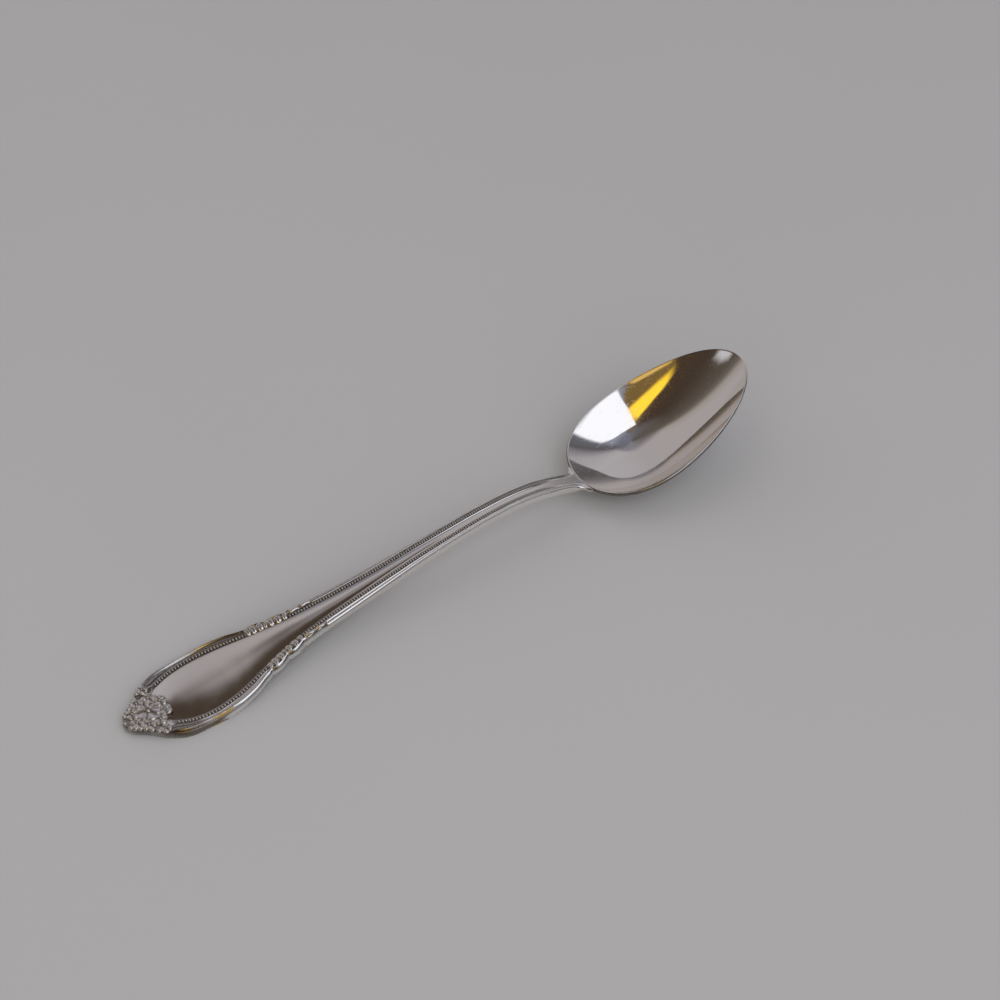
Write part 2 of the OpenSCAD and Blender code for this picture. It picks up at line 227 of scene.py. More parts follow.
def egg(a):
    """Half-width of the egg-shaped rim at an angle from the neck, before it is scaled."""
    return np.sin(a) * (1 + EGG * np.cos(a) + BLUNT * np.cos(2 * a))


EGG_PEAK = egg(np.radians(np.arange(60, 101))).max()


def rim_x(a):
    """Distance of the rim from the neck, at an angle from the neck."""
    return (1 - np.cos(a)) / 2 * BOWL_L


def rim_y(a):
    """Half-width of the rim there."""
    return BOWL_W / 2 * egg(a) / EGG_PEAK


def rim_z(x):
    """Height of the rim above the neck, x millimetres from it."""
    t = x / BOWL_L
    return RIM_RISE * t - 4 * RIM_SAG * t * (1 - t)


def bowl_point(a, s, inset, depth, lip):
    """Point of the bowl on the ray at angle a, at share s of the way to the rim, lip below the rim's edge."""
    power = WALL_POWER
    if inset:
        power = power - NECK_EASE * np.exp(-(2 * np.sin(a / 2) / NECK_EASE_REACH) ** 2)
    mid = BOWL_MID * BOWL_L
    dx, dy = rim_x(a) - mid, rim_y(a)
    keep = s * (1 - inset / np.hypot(dx, dy))
    x = mid + keep * dx
    z = NECK_Z + rim_z(x) - lip - (depth - lip) * (1 - s ** power)
    return np.stack([x + HANDLE_L, keep * dy, np.maximum(z, 0)], -1)


HALF_TURN = np.linspace(0, np.pi, 721)
RIM_TURN = np.unwrap(np.arctan2(rim_y(HALF_TURN), rim_x(HALF_TURN) - BOWL_MID * BOWL_L))[::-1]
RIM_REACH = np.hypot(rim_y(HALF_TURN), rim_x(HALF_TURN) - BOWL_MID * BOWL_L)[::-1]


def bowl_skin_z(x, y):
    """(height of the bowl's underside over a point, share of the way to the rim)."""
    dx, dy = x - HANDLE_L - BOWL_MID * BOWL_L, np.abs(y)
    s = np.hypot(dx, dy) / np.interp(np.arctan2(dy, dx), RIM_TURN, RIM_REACH)
    depth = BOWL_DEPTH + BOWL_WALL
    return NECK_Z + rim_z(x - HANDLE_L) - depth * (1 - np.minimum(s, 1) ** WALL_POWER), s


def seat_z(x):
    """Height of the metal that the beads sit on."""
    return curve(sized(SPINE, TIP_T, ARCH_H) + [[HANDLE_L, NECK_Z]], x)


def edge_y(x):
    """Half-width of the handle, with the scallops beside each spray."""
    tip = [[a * TIP_END, b * PANEL_W / 2] for a, b in TIP_EDGE]
    rows = tip + sized(PANEL_EDGE, 0, PANEL_W / 2) + sized(STEM_EDGE, 0, STEM_W / 2)
    x = np.asarray(x, float)
    u = np.clip((x - SPRAY_START) / (SPRAY_END - SPRAY_START), 0, 1)
    lobe = SCALLOP * (np.abs(np.sin(2 * np.pi * u)) - 0.5)
    fade = ease(SPRAY_START - 0.5, SPRAY_START + 0.5, x)
    fade *= 1 - ease(SPRAY_END - 0.5, SPRAY_END + 0.5, x)
    return curve([[math.sqrt(a), b] for a, b in rows], np.sqrt(x)) + lobe * fade


def bead_y(x):
    """Half-distance between the two rows of beads."""
    return curve(sized(PANEL_BEADS, 0, PANEL_W / 2) + sized(STEM_BEADS, 0, STEM_W / 2), x)


def thick(x):
    """Thickness of the blank."""
    return curve(sized(TIP_THICK, TIP_T, PANEL_T) + sized(STEM_THICK, PANEL_T, STEM_T), x)


def crest_in(x):
    """Distance of the ridge's crest from the edge."""
    return curve(CREST, np.clip(x, CREST[0][0], CREST[-1][0]))


def neck_low(u):
    """Height of the underside of neck and tongue, u neck lengths past the stem."""
    def under(x):
        share = 1 - x / (BOWL_MID * BOWL_L)
        return NECK_Z + rim_z(x) - (BOWL_DEPTH + BOWL_WALL) * (1 - share ** WALL_POWER)

    rows = [[0, float(seat_z(STEM_END)[0]) - STEM_T],
            [0.5, float(seat_z(STEM_END + 0.5 * NECK_L)[0]) - STEM_T],
            [1, NECK_Z - 0.9 * STEM_T], [1.5, under(0.5 * NECK_L) - TONGUE_T],
            [2, under(NECK_L) - 0.5 * TONGUE_T],
            [TONGUE_END, under((TONGUE_END - 1) * NECK_L) - 0.1 * TONGUE_T]]
    return curve(rows, u)


def neck_top(u):
    """Height of the top of neck and tongue, u neck lengths past the stem."""
    past = NECK_Z + rim_z((u - 1) * NECK_L) - (u - 1) * TONGUE_T
    return np.where(u < 1, seat_z(STEM_END + np.minimum(u, 1) * NECK_L), past)


def rounded(points, rounds):
    """Corner cutting that keeps the first and last points of a (k, n, 2) run of section points."""
    for _ in range(rounds):
        a, b = points[:-1], points[1:]
        cut = np.empty((2 * len(a), *points.shape[1:]))
        cut[0::2] = 0.75 * a + 0.25 * b
        cut[1::2] = 0.25 * a + 0.75 * b
        points = np.concatenate([points[:1], cut[1:-1], points[-1:]])
    return points


def in_scene(name, data):
    """Object of a mesh, light or camera, put in the scene."""
    made = bpy.data.objects.new(name, data)
    bpy.context.scene.collection.objects.link(made)
    return made


def valued_mesh(name, points, faces, layer, values):
    """Mesh with a value at each point."""
    mesh = bpy.data.meshes.new(name)
    mesh.from_pydata(points.tolist(), [], faces)
    mesh.attributes.new(layer, "FLOAT", "POINT").data.foreach_set("value", np.asarray(values, np.float32))
    return mesh


def add_piece(name, made, finish):
    """Smooth-shaded piece of points in millimetres from the tip of the handle, faces and hollow values: the
    darkening of tarnish and painted shade.
    """
    points, faces, worn = made
    mesh = valued_mesh(name, (points - (SPOON_L / 2, 0, 0)) * MM, faces, "hollow", worn)
    mesh.polygons.foreach_set("use_smooth", [True] * len(mesh.polygons))
    mesh.materials.append(finish)
    piece = in_scene(name, mesh)
    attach(piece, "root")
    return piece


def tube_faces(rings, around, closed=True):
    """Quads between rings of as many points each."""
    i = np.arange(rings - 1)[:, None] * around
    j = np.arange(around if closed else around - 1)[None, :]
    k = (j + 1) % around
    return np.stack([i + j, i + k, i + k + around, i + j + around], -1).reshape(-1, 4)


def fan(middle, start, around, turn=1):
    """Triangles between a point and the ring that starts at a number."""
    return [[middle, *(start + j, start + (j + 1) % around)[::turn]] for j in range(around)]


def capped(rings, top):
    """Points and faces of rings closed by a point on top."""
    count, around = len(rings) * len(rings[0]), len(rings[0])
    faces = tube_faces(len(rings), around).tolist() + fan(count, count - around, around)
    return np.concatenate(rings + [[top]]), faces


def joined(parts):
    """One list of points, faces and values of tarnish and painted shade from several."""
    points, faces, worn, base = [], [], [], 0
    for p, f, w in parts:
        points.append(p)
        faces += [[base + i for i in face] for face in f]
        worn.append(w)
        base += len(p)
    return np.concatenate(points), faces, np.concatenate(worn)


def mix(a, b, share):
    """Blend of two numbers, or of two lists of them."""
    if isinstance(a, (tuple, list)):
        return [mix(p, q, share) for p, q in zip(a, b)]
    return a + (b - a) * share


def handle_sections(x):
    """The handle's section at stations x: half-widths of field, beads and border, height of the seat, points
    of the flank, height of the underside, fall of the border."""
    size = sizes()
    z, t, w, b = seat_z(x), thick(x), edge_y(x), bead_y(x)
    tip_field = np.minimum(bead_y(TIP_END)[0], w / 2)
    reach = size["bead_w"] / 2 + BEAD_SINK
    f = np.where(x < TIP_END, tip_field, b - reach)
    c = np.where(x < TIP_END, tip_field, b + reach)
    stem = ease(SPRAY_END, REED_START + 2, x)
    o = mix(np.maximum(w - crest_in(x) + 0.42, 0.65 * w), w - 0.05 - 0.25 * ease(*SLIM, x), stem)
    c = np.minimum(c, np.maximum(o - 0.15, 0.8 * o))
    under = np.maximum(0, z - t)
    drop = 0.1 + 0.3 * stem
    # The flank from the border down to the underside, flat on the panel and full on the stem
    flat = [(o + 0.35 * (w - o), z - 0.33 * t), (o + 0.75 * (w - o), z - 0.66 * t),
            (w - 0.02 * t, np.maximum(under, z - 0.9 * t)), (w - 0.3 * t, under)]
    full = [(o + 0.4 * (w - o), z - drop - 0.12), (w, z - 0.55 * t),
            (w - 0.05 * t, np.maximum(under, z - 0.85 * t)), (w - 0.35 * t, under)]
    return f, c, o, z, mix(flat, full, stem), under, drop


def neck_sections(x):
    """The same for the neck and the tongue under the bowl."""
    u = (x - STEM_END) / NECK_L
    z = neck_top(u)
    low = neck_low(u)
    t = z - low
    w = STEM_W / 2 * curve(NECK_W, np.clip(u, 0, TONGUE_END))
    thin = ease(0.5, 1.0, u)
    flank = [(0.97 * w, z - (0.3 - 0.2 * thin) * t), (w, z - (0.5 - 0.28 * thin) * t),
             (0.95 * w, z - (0.8 - 0.4 * thin) * t), ((0.6 - 0.15 * thin) * w, low + 0.1 * thin * t)]
    return 0.5 * w, 0.6 * w, 0.85 * w, z, flank, low, 0.06 + 0 * w


def full_sections(x):
    """Sections of handle and neck, blended where the stem runs into its shoulders."""
    return mix(handle_sections(x), neck_sections(x), ease(STEM_END - 4, STEM_END + 3, x))


def stations(start, end):
    """Column of stations between two places, closer together where the outline turns quickly."""
    marks = np.concatenate([TIP_STEPS, np.arange(TIP_END + 0.2, SPRAY_START - 0.5, 0.25),
                            np.arange(SPRAY_START - 0.5, REED_START + 3, 0.1),
                            np.arange(REED_START + 3, STEM_END - 5, 0.4),
                            np.arange(STEM_END - 5, STEM_END + TONGUE_END * NECK_L, 0.2)])
    inside = marks[(marks > start + 0.05) & (marks < end - 0.05)]
    return np.concatenate([[start], inside, [end]])[:, None]


def blank_length(start, end, nose=False):
    """Points, faces and values of tarnish and painted shade of a length of the plain blank, under the
    mouldings.
    """
    size = sizes()
    x = stations(start, end)
    f, c, o, z, flank, under, drop = full_sections(x)
    far = np.clip((x - TIP_END) / (SPRAY_END - TIP_END), 0, 1)
    into_neck = ease(STEM_END - 8, STEM_END + 1, x)
    dish = mix(size["panel_dish"], size["stem_dish"], far) * ease(TIP_END - 4, TIP_END + 1.5, x)
    dish = dish * (1 - into_neck)
    rows = []

    def shade(y):
        """Painted shade and tarnish on the ground between the flowers of the cluster."""
        out = np.hypot(x - ROSETTE_X, y)
        return 0.7 * np.where(x < ROSETTE_X, 1.0, 1 - ease(RING_R + 0.55, RING_R + 1.15, out))

    # Field: tarnish and painted shade next to the beads and round the cluster, and painted shade that darkens
    # the neck
    for q in np.linspace(0, 1, 22)[:-1]:
        worn = np.maximum(0.55 * max(0.0, (q - 0.93) / 0.07), shade(q * f))
        rows.append((q * f, z - dish * (1 - q ** (2 + 1.2 * far)), np.maximum(worn, 0.5 * into_neck)))
    # Tarnish and painted shade along the bead channel and the border past the tip; painted shade on the flank
    # near the tip and under the cluster
    past_tip = ease(TIP_END - 1, TIP_END + 1, x)
    sink = 0.1 * past_tip * (1 - ease(STEM_END - 3, STEM_END, x))
    lined = past_tip * (1 - ease(STEM_END - 5, STEM_END - 1, x))
    tarnish_film_and_shade = 0.75 * (1 - ease(12, 16, x))
    for q in np.linspace(0, 1, 7)[:-1]:
        rows.append((f + q * (c - f), z - sink * np.sin(np.pi * q) ** 0.5, np.maximum(lined, shade(c))))
    for q in np.linspace(0, 1, 10):
        rows.append((c + q * (o - c), z - drop * q * q - BEAD_SINK, np.maximum(0.8 * lined, shade(c))))
    corner = np.array([(rows[-1][0], rows[-1][1])] + flank + [(0.5 * flank[-1][0], under)])
    smooth = rounded(corner, 3)[1:]
    for k, (y, h) in enumerate(smooth):
        worn = np.maximum(lined * max(0.0, 0.6 - 0.2 * k), tarnish_film_and_shade)
        rows.append((y, h, np.maximum(worn, shade(c) * max(0.0, 1 - 0.05 * k))))
    for q in (0.5, 0.0):
        rows.append((q * 0.5 * flank[-1][0], under, 0 * x))
    y, h, worn = (np.concatenate([r[i] for r in rows], 1) for i in range(3))
    skin, share = bowl_skin_z(np.repeat(x, y.shape[1], 1), y)
    wide = y.max(1, keepdims=True)
    keel = (skin[:, -1:] - under) * (1 - (y / wide) ** 2) + 0.05
    beneath = (x > HANDLE_L) & (share < 1)
    h = np.where(beneath, np.clip(h, skin - np.maximum(keel, 0.05), skin + 0.3), h)
    h = np.maximum(h, 0)
    ring_y, ring_z, ring_w = (np.concatenate([a, b * a[:, -2:0:-1]], 1)
                              for a, b in ((y, -1), (h, 1), (worn, 1)))
    around = ring_y.shape[1]
    points = np.stack([np.repeat(x, around, 1), ring_y, ring_z], -1)
    faces = tube_faces(len(x), around).tolist()
    flat = points.reshape(-1, 3)
    count = len(flat)
    middles = [[0.02, 0, float(seat_z(0)[0]) - TIP_T / 2] if nose else points[0].mean(0), points[-1].mean(0)]
    start_ring = 0 if nose else count
    flat = np.concatenate([flat, points[0], points[-1], middles])
    faces += fan(count + 2 * around, start_ring, around, -1)
    faces += fan(count + 2 * around + 1, count + around, around)
    return flat, faces, np.concatenate([ring_w.ravel(), ring_w[0], ring_w[-1], [0, 0]])


def moulding(x, side, sections, rise, fade, worn):
    """Closed strip along the border, as high as rise over its seat, that goes under where it fades."""
    _, inner, outer, z, _, _, drop = sections
    q = np.linspace(0, 1, rise.shape[1])
    base = z - drop * q * q
    y = inner + q * (outer - inner)
    top = rise * fade - END_SINK * (1 - fade)
    ring_y = np.concatenate([y, y[:, -1:], y[:, :1]], 1)
    ring_z = np.concatenate([base + top, base[:, -1:] - FOOT_SINK, base[:, :1] - FOOT_SINK], 1)
    ring_w = np.concatenate([worn, worn[:, -1:], worn[:, :1]], 1)
    around = ring_y.shape[1]
    points = np.stack([np.repeat(x, around, 1), side * ring_y, ring_z], -1).reshape(-1, 3)
    faces = tube_faces(len(x), around)[:, ::side].tolist()
    last = (len(x) - 1) * around
    faces += [list(range(around))[::side], list(range(last, last + around))[::-side]]
    return points, faces, ring_w.ravel()


def ridge(side):
    """Ridge round the panel with a hollow band inside it, running on as the scalloped edge of the spray."""
    x = stations(RIDGE_START, SPRAY_END + 1.5)
    f, c, o, *rest = handle_sections(x)
    c = np.where(x < TIP_END, o - 1.9, c)
    crest = np.maximum(edge_y(x) - crest_in(x), c + 0.1)
    q = np.linspace(0, 1, 46)
    y = c + q * (o - c)
    p = np.clip((y - c) / (crest - c), 0, 1)
    r = np.clip((y - crest) / (o - crest), 0, 1)
    inside = ease(SPRAY_START - 1.0, SPRAY_START + 0.5, x)
    lip = np.exp(-(np.minimum(y - crest, 0) / 0.3) ** 2)
    profile = (curve(BAND, p) * (1 - inside) + lip * inside) * (1 - r ** 1.4)
    fade = ease(RIDGE_START, TIP_END - 0.4, x)
    fade *= 1 - ease(SPRAY_END - 0.3, SPRAY_END + 1.5, x)
    # Painted shade in place of dark reflections: an even film, more of it on the left ridge and less on the
    # crest, near the tip and in the cusps of the scallops, then dark lines along the beads, the outer edge and
    # the foot of the spray
    tarnish_film_and_shade = (0.6 if side > 0 else 0.1) * np.where(p < 0.97, 1, 0.6)
    shade_near_tip = 0.85 * (1 - ease(12, 15, x))
    scallop_l = (SPRAY_END - SPRAY_START) / 2
    cusp_shade = sum(np.exp(-((x - 0.9 - SPRAY_START - k * scallop_l) / 0.7) ** 2) for k in (0, 1, 2))
    bead_line_shade = 0.9 * np.clip(0.75 - 2.2 * profile, 0, 1) * (p < 0.12)
    dark = np.maximum(np.maximum(tarnish_film_and_shade, np.maximum(shade_near_tip, 0.9 * cusp_shade)), bead_line_shade)
    dark = dark + 0.7 * (r > 0.85) + 0.6 * inside * (profile < 0.3) * (p < 1)
    return moulding(x, side, (f, c, o, *rest), sizes()["ridge_h"] * profile, fade, dark)


def reeds(side):
    """Two reeds joined in a round end, over the shoulder of the stem."""
    x = stations(REED_START - 0.8, STEM_END + 0.95 * NECK_L)
    sections = full_sections(x)
    q = np.linspace(0, 1, 44)
    reach = sections[2] - sections[1]
    first, second = 0.26 + 0.12 * ease(*SLIM, x), 0.84
    middle, half = (first + second) / 2, (second - first) / 2
    back = np.maximum(REED_START + 0.8 - x, 0)
    across = (q - middle) * reach
    off = np.abs(np.hypot(back, across) - half * reach) / (0.96 * np.minimum(half, 0.3) * reach)
    bead = np.sqrt(np.clip(1 - off * off, 0, 1))
    fade = ease(REED_START - 0.8, REED_START, x)
    fade *= 1 - ease(STEM_END + 0.5 * NECK_L, STEM_END + 0.95 * NECK_L, x)
    # Painted shade: dark lines in the grooves between the reeds, partly tarnish, and an even darkening of the
    # left reeds
    far_side_shade = 0.45 if side > 0 else 0.0
    dark = np.maximum(np.clip(1 - 1.8 * bead, 0, 1), far_side_shade) * fade
    return moulding(x, side, sections, sizes()["reed_h"] * bead, fade, dark)


def bowl_shell():
    """Points, faces and painted-shade values of the bowl: underside, chamfered rim and hollow."""
    a = np.linspace(0, 2 * np.pi, 241)[:-1]
    below = np.sin(np.linspace(0.03, 1, 40) * np.pi / 2)
    rings = [bowl_point(a, s, 0, BOWL_DEPTH + BOWL_WALL, RIM_ROUND) for s in below]
    # The edge from outside to inside: share of its width, fall from its top
    for share, fall in ((0.06, 0.86), (0.14, 0.66), (0.22, 0.46), (0.3, 0.28), (0.38, 0.13), (0.48, 0.04),
                        (0.58, 0.0), (0.68, 0.01), (0.78, 0.04), (0.88, 0.11), (0.95, 0.19)):
        p = bowl_point(a, 1.0, RIM_T * share, BOWL_DEPTH, 0)
        p[:, 2] -= fall * RIM_ROUND
        rings.append(p)
    inner = np.sin(np.linspace(1, 0.02, 60) * np.pi / 2)
    rings += [bowl_point(a, s, RIM_T, BOWL_DEPTH, 0.3 * RIM_ROUND) for s in inner]
    points = np.concatenate(rings)
    around = len(a)
    faces = tube_faces(len(rings), around).tolist()
    # Painted shade: a dark line on the skin next to the edge and on the outer rings of the edge, standing in
    # for the dark ground that the rounded edge mirrors
    shade_rings = 5
    worn = np.concatenate([np.repeat(0.8 * ease(0.93, 0.99, below), around), np.ones(shade_rings * around),
                           np.zeros(len(points) - (len(below) + shade_rings) * around + 2)])
    n = len(points)
    faces += fan(n, 0, around, -1) + fan(n + 1, n - around, around)
    ends = [bowl_point(np.array([0.0]), 0.0, 0, BOWL_DEPTH + BOWL_WALL, RIM_ROUND)[0],
            bowl_point(np.array([0.0]), 0.0, RIM_T, BOWL_DEPTH, 0.3 * RIM_ROUND)[0]]
    return np.concatenate([points, ends]), faces, worn


def dome(rx, ry, rz, around, lifts, tarnish_film_and_shade):
    """Upper half of a ball: rings at some degrees up, each with its share of tarnish and painted shade."""
    turns = np.linspace(0, 2 * np.pi, around + 1)[:-1]
    rings = [np.stack([rx * np.cos(turns) * math.cos(e), ry * np.sin(turns) * math.cos(e),
                       0 * turns + rz * math.sin(e)], -1) for e in np.radians(lifts)]
    return *capped(rings, [0, 0, rz]), np.append(np.repeat(np.asarray(tarnish_film_and_shade, float), around), 0.0)


def bead_row(side):
    """Round beads in their channel, one after the other, along one side."""
    size = sizes()
    parts = []
    for start, end in ((TIP_END + 0.5, SPRAY_START + 0.3), (SPRAY_END + 0.1, STEM_END - 0.4)):
        dense = np.linspace(start, end, 4000)
        path = np.stack([dense, bead_y(dense), seat_z(dense)], -1)
        pitches = mix(size["panel_pitch"], size["stem_pitch"], ease(*CLOSER, dense))
        run = np.concatenate([[0], np.cumsum(np.linalg.norm(np.diff(path, axis=0), axis=1) / pitches[1:])])
        count = int(run[-1])
        for k in range(count):
            d = (k + 0.5) * run[-1] / count
            x = float(np.interp(d, run, dense))
            y, z = float(bead_y(x)[0]), float(seat_z(x)[0])
            slope = float(seat_z(x + 0.2)[0] - seat_z(x - 0.2)[0]) / 0.4
            late = 1 - 0.75 * float(ease(STEM_END - 5, STEM_END, x))
            pitch = float(np.interp(x, dense, pitches))
            rx, ry, rz = 0.37 * pitch, 0.5 * size["bead_w"], size["bead_h"] * late
            # The lower rings are darkened: tarnish and painted shade in the gaps between the beads
            points, faces, worn = dome(rx, ry, rz, 12, (-20, 8, 34, 62), (1, 0.6, 0.05, 0))
            points += (x, side * y, 0)
            points[:, 2] += z - BEAD_SINK + slope * (points[:, 0] - x)
            parts.append((points, faces, worn))
    return joined(parts)


def berry(radius):
    """Round berry, sunk a little into its ground."""
    # The lowest rings are darkened: tarnish and painted shade where the berry meets its ground
    return dome(radius, radius, radius, 24, (-12, 4, 20, 36, 52, 68, 80), (1, 0.6, 0.1, 0, 0, 0, 0))


def flower(width, height, petals, phase, cup):
    """A flower with cupped petals round a raised button, on its own flat foot."""
    turns = np.linspace(0, 2 * np.pi, 12 * petals + 1)[:-1]
    swell = np.abs(np.sin(petals * (turns - phase) / 2))
    rings, worn = [], []
    button = 0.18
    for r in (1.0, 0.97, 0.9, 0.8, 0.68, 0.56, 0.44, 0.36, button + 0.03, button, 0.8 * button, 0.5 * button):
        reach = width / 2 * r * (1 - (0.2 - 0.06 * r) * (1 - swell ** 0.7) * ease(button, 1, r))
        leaf_h = (0.35 + 0.65 * swell ** 0.8) * (1 - r ** 6)
        leaf_h -= cup * swell * math.exp(-((r - 0.62) / 0.16) ** 2)
        knob = 0.95 * math.sqrt(max(0.0, 1 - (r / (button + 0.04)) ** 2)) if r <= button + 0.03 else 0
        h = height * np.maximum(np.where(r > button, 0.78 * leaf_h, 0.25), knob)
        rings.append(np.stack([reach * np.cos(turns), reach * np.sin(turns), np.maximum(h, 0)], -1))
        # Tarnish and painted shade in the creases between petals, round the button and at the foot
        crease = (1 - swell) ** 2 * (0.9 if r > button else 0)
        foot = (0.9 if abs(r - button - 0.02) < 0.03 else 0) + (0.8 if r > 0.95 else 0)
        worn.append(np.clip(crease + foot, 0, 1))
    return *capped(rings, [0, 0, 0.97 * height]), np.concatenate(worn + [[0.0]])


def seated(part, x, y, turn=0.0):
    """The part moved to its place on the handle and turned to the slope there."""
    points, faces, worn = part
    slope = float(seat_z(x + 0.5)[0] - seat_z(max(x - 0.5, 0.0))[0])
    spin = Matrix.Rotation(-math.atan(slope), 3, "Y") @ Matrix.Rotation(turn, 3, "Z")
    moved = np.asarray(points) @ np.array(spin).T
    return moved + (x, y, float(seat_z(x)[0]) + 0.01), faces, worn


def border_mid(x):
    """Middle, inside and outside of the border, as distances from the middle of the handle."""
    f, c, o = handle_sections(np.array([x]))[:3]
    return float(f[0] + o[0]) / 2, float(c[0]), float(o[0])


def blade(length, half, bend, rise, back, worn):
    """Raised shape: half-widths, bends and heights along its length, back and darkening of tarnish and painted
    shade across it.
    """
    across = np.linspace(-1, 1, len(back))
    along = (np.linspace(0.0, 1.0, len(half)) - 0.5) * length
    rings = [np.stack([np.full(len(back), a), m + h * across, r * back], -1)
             for a, h, m, r in zip(along, half, bend, rise)]
    return (np.concatenate(rings), tube_faces(len(half), len(back), closed=False).tolist(),
            np.tile(worn, len(half)))


def petal(length, width, height):
    """A plump petal, broader at its tip, with a crease down its middle."""
    u, across = np.linspace(0.0, 1.0, 21), np.linspace(-1, 1, 13)
    back = np.sqrt(np.clip(1 - across ** 2, 0, 1)) * (1 - 0.3 * np.exp(-(across / 0.16) ** 2))
    # Tarnish and painted shade at the petal's edges and in its middle crease
    worn = np.maximum(np.abs(across) ** 5, 0.5 * np.exp(-(across / 0.1) ** 2))
    return blade(length, width / 2 * np.sin(np.pi * u ** 0.75) ** 0.55, 0 * u,
                 height * np.sin(np.pi * u ** 1.2) ** 0.6, back, worn)


def leaf(length, width, height, bend):
    """A leaf pointed at both ends, bent along its length, with a rounded back."""
    u, across = np.linspace(0.0, 1.0, 25), np.linspace(-1, 1, 11)
    # Tarnish and painted shade toward the leaf's edges
    return blade(length, width / 2 * np.sin(np.pi * u) ** 0.75, bend * np.sin(2 * np.pi * u),
                 height * np.sin(np.pi * u) ** 0.6, np.sqrt(np.clip(1 - across ** 2, 0, 1)), across ** 4)


def spray(side):
    """Petals side by side across the border, fanned out in each scallop of the edge."""
    parts = []
    for share, grow in ((0.06, 0.8), (0.19, 1.05), (0.35, 1.1), (0.48, 0.6), (0.6, 1), (0.77, 1.1),
                        (0.93, 0.8)):
        x = SPRAY_START + share * (SPRAY_END - SPRAY_START)
        mid, _, o = border_mid(x)
        low, high = 2 * mid - o, o - 0.45
        turn = side * (math.pi / 2 - 0.8 * (2 * share % 1 - 0.5))
        plump = petal(1.2 * (high - low), 1.75 * grow, 0.5 + 0.15 * grow)
        parts.append(seated(plump, x, side * (low + high) / 2, turn))
    return joined(parts)


def scroll(side):
    """Two leaves aslant, one after the other, each with a small one beside it."""
    parts = []
    for share, low, length, small in ((0.3, 0.32, 3.4, 2.3), (0.8, 0.42, 3.5, 1.6)):
        x = SPRAY_END + share * (REED_START - SPRAY_END)
        _, c, o = border_mid(x)
        reach = o - c
        parts.append(seated(leaf(length, 1.0, 0.6, -0.2 * side), x, side * (c + low * reach), -side * 0.25))
        parts.append(seated(leaf(small, 0.45, 0.4, 0.0), x - 0.4, side * (o - 0.16 * reach), -side * 0.12))
    return joined(parts)


def node(tree, kind, settings=None, links=None):
    """A shader node of that kind with its settings and values, fed by sockets or the first ones of nodes."""
    made = tree.nodes.new("ShaderNode" + kind)
    for key, value in (settings or {}).items():
        if isinstance(key, str) and hasattr(made, key):
            setattr(made, key, value)
        else:
            made.inputs[key].default_value = value
    for key, source in (links or {}).items():
        tree.links.new(source.outputs[0] if isinstance(source, bpy.types.Node) else source, made.inputs[key])
    return made


def new_finish(name):
    """An empty material and its node tree."""
    finish = bpy.data.materials.new(name)
    finish.use_nodes = True
    tree = finish.node_tree
    tree.nodes.clear()
    return finish, tree


# The one plating, as rubbing and cleaning left it from place to place: least and most roughness, strength of
# the scratches, strength of the tarnish and painted shade that the hollow values lay on
POLISH = {
    # A mirror that breaks the window up into fine hairlines
    "silver_plate_mop_polished": (0.025, 0.06, 0.8, 0.95),
    # A soft, even sheen with no clear picture in it
    "silver_plate_struck_and_scuffed": (0.13, 0.16, 0.1, 0.95),
    # Bright lines on the crests over dark lines of painted shade and tarnish in the grooves
    "silver_plate_moulding_rubbed_bright": (0.05, 0.1, 0.4, 0.85),
    # Pale dots on a dark line of tarnish and painted shade
    "silver_plate_beads_dark_between": (0.15, 0.2, 0.3, 1.0),
    # Dull petals edged with tarnish and painted shade
    "silver_plate_relief_oxidised_hollows": (0.2, 0.28, 0.3, 1.0),
    # The dullest of all, grey petals in a ground of tarnish and painted shade
    "silver_plate_cluster_oxidised_hollows": (0.26, 0.34, 0.3, 1.0),
}


